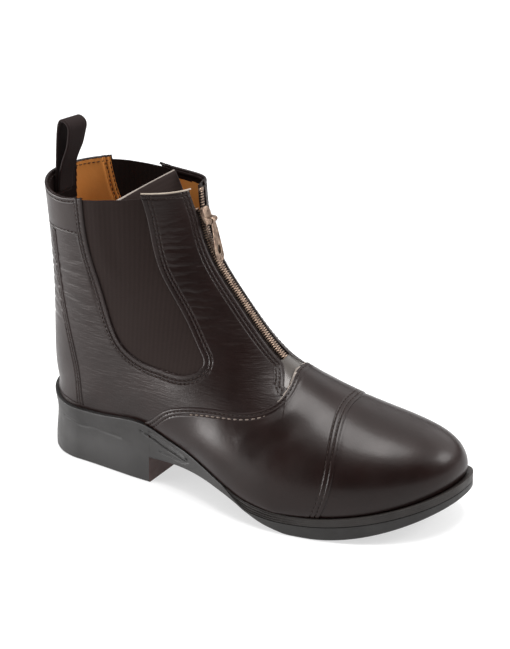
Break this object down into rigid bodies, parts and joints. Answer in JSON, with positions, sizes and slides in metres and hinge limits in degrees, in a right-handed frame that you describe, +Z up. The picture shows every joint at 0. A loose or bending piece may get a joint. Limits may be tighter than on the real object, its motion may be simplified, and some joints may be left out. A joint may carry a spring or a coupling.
{
  "type": "jodhpur boot",
  "caption": "Ankle-high leather jodhpur boot for the right foot, with a front zip, elastic side gores, a toe cap, a pull loop and a moulded sole with a low heel.",
  "frame": {"origin": "on the floor, at the centre of the boot's box in plan", "axes": "+X from heel to toe, +Y to the boot's left, which is the medial side of this right boot, +Z up"},
  "size_m": [0.286, 0.1046, 0.2194],
  "materials": {
    "leather": "semi-gloss dark brown leather",
    "elastic": "matte ribbed elastic",
    "sole_rubber": "matte dark grey-brown rubber",
    "footbed": "matte tan lining leather",
    "guard": "matte dark lining cloth",
    "tape": "matte woven tape",
    "zip_metal": "antique brass",
    "webbing": "woven webbing"
  },
  "bodies": {
    "boot": {"outsole": "sole_rubber", "welt": "sole_rubber", "insole": "footbed", "upper": "leather", "toe_cap": "leather", "vamp": "leather", "backstay": "leather", "collar_band": "leather", "gore_lateral": "elastic", "gore_medial": "elastic", "tongue": "guard", "zip_tape_lateral": "tape", "zip_tape_medial": "tape", "zip_slider": "zip_metal", "zip_stop": "leather", "pull_loop": "webbing"},
    "zip_pull": {"zip_pull": "zip_metal"}
  },
  "joints": [
    {"name": "zip_pull_hinge", "type": "hinge", "parent": "boot", "child": "zip_pull", "pos_m": [-0.02895, 0.00193, 0.17163], "axis": [0, -1, 0], "range_deg": [0, 160]}
  ]
}
